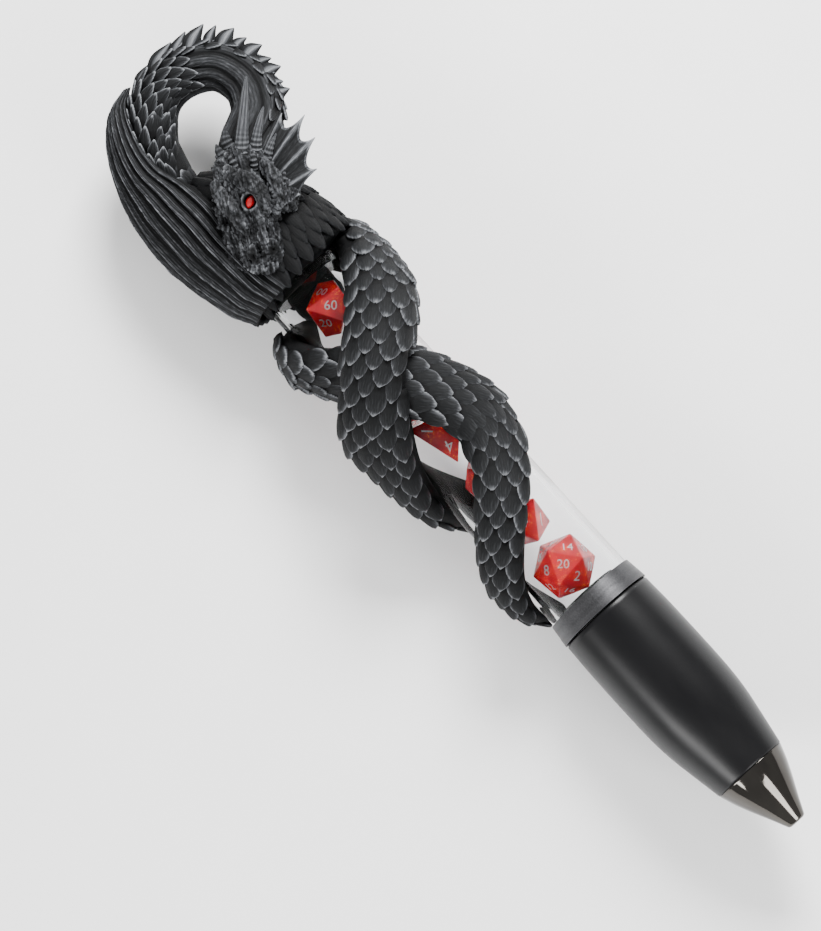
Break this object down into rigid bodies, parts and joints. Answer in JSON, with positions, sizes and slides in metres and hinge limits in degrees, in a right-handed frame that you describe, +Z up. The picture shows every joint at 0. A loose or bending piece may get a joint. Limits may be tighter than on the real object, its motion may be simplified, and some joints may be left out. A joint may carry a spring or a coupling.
{
  "type": "dice-holding twist pen",
  "caption": "Oversized twist ballpoint pen whose clear barrel holds polyhedral dice, wound round by a cast dragon with a looped neck.",
  "frame": {"origin": "on the table, on the casting's sanded flat, straight under the upper end of the clear barrel", "axes": "+X along the barrel to the writing point, +Z up from the table through the barrel axis"},
  "size_m": [0.2802, 0.0602, 0.0492],
  "materials": {
    "cast_resin": "matte, dry-brushed grey",
    "red_dice": "polished translucent with glitter",
    "red_gem": "faceted gloss",
    "clear_acrylic": "polished clear",
    "satin_metal": "satin",
    "dark_plastic": "moulded",
    "white_plastic": "moulded",
    "soft_grip": "soft-touch matte",
    "steel": "drawn",
    "steel_dark": "turned",
    "refill_plastic": "knurled",
    "chromed_metal": "mirror chrome"
  },
  "bodies": {
    "barrel": {"shoulder": "cast_resin", "neck_loop": "cast_resin", "folded_wing": "cast_resin", "body_coil": "cast_resin", "tail_coil": "cast_resin", "head": "cast_resin", "horns": "cast_resin", "cheek_spikes": "cast_resin", "ear_frill": "cast_resin", "crest_spines": "cast_resin", "eye_gem": "red_gem", "barrel_tube": "clear_acrylic", "barrel_end_disc": "clear_acrylic"},
    "collar_unit": {"collar_ring": "satin_metal", "bulkhead": "dark_plastic", "cam_sleeve": "white_plastic"},
    "grip": {"grip_sleeve": "soft_grip", "grip_core": "dark_plastic"},
    "point_carrier": {"refill_holder": "white_plastic", "key_pin": "steel"},
    "refill": {"refill_plug": "refill_plastic", "refill_tube": "steel", "refill_point": "steel_dark"},
    "nose": {"nose_cone": "chromed_metal"},
    "die_00": {"die_00": "red_dice"},
    "die_12": {"die_12": "red_dice"},
    "die_6": {"die_6": "red_dice"},
    "die_4": {"die_4": "red_dice"},
    "die_10": {"die_10": "red_dice"},
    "die_8": {"die_8": "red_dice"},
    "die_20": {"die_20": "red_dice"}
  },
  "joints": [
    {"name": "collar_unscrew", "type": "slide", "parent": "barrel", "child": "collar_unit", "axis": [1, 0, 0], "range_m": [0, 0.045]},
    {"name": "grip_twist", "type": "hinge", "parent": "collar_unit", "child": "grip", "pos_m": [0.14, 0, 0.0216], "axis": [1, 0, 0], "range_deg": [0, 180]},
    {"name": "point_advance", "type": "slide", "parent": "grip", "child": "point_carrier", "axis": [1, 0, 0], "range_m": [0, 0.0036]},
    {"name": "refill_withdraw", "type": "slide", "parent": "point_carrier", "child": "refill", "axis": [1, 0, 0], "range_m": [0, 0.0705]},
    {"name": "nose_unscrew", "type": "slide", "parent": "grip", "child": "nose", "axis": [1, 0, 0], "range_m": [0, 0.105]},
    {"name": "die_00_roll", "type": "hinge", "parent": "barrel", "child": "die_00", "pos_m": [0.01075, 0, 0.01898], "axis": [1, 0, 0], "continuous": true},
    {"name": "die_12_roll", "type": "hinge", "parent": "barrel", "child": "die_12", "pos_m": [0.02759, 0, 0.01989], "axis": [1, 0, 0], "continuous": true},
    {"name": "die_6_roll", "type": "hinge", "parent": "barrel", "child": "die_6", "pos_m": [0.04411, 0, 0.02151], "axis": [1, 0, 0], "continuous": true},
    {"name": "die_4_roll", "type": "hinge", "parent": "barrel", "child": "die_4", "pos_m": [0.05897, 0, 0.02131], "axis": [1, 0, 0], "continuous": true},
    {"name": "die_10_roll", "type": "hinge", "parent": "barrel", "child": "die_10", "pos_m": [0.07706, 0, 0.01893], "axis": [1, 0, 0], "continuous": true},
    {"name": "die_8_roll", "type": "hinge", "parent": "barrel", "child": "die_8", "pos_m": [0.09275, 0, 0.01907], "axis": [1, 0, 0], "continuous": true},
    {"name": "die_20_roll", "type": "hinge", "parent": "barrel", "child": "die_20", "pos_m": [0.10941, 0, 0.02004], "axis": [1, 0, 0], "continuous": true}
  ],
  "couplings": [
    {"joint": "point_advance", "follows": "grip_twist", "m_per_rad": 0.0011141},
    {"joint": "refill_withdraw", "follows": "nose_unscrew", "ratio": 0.6666}
  ]
}
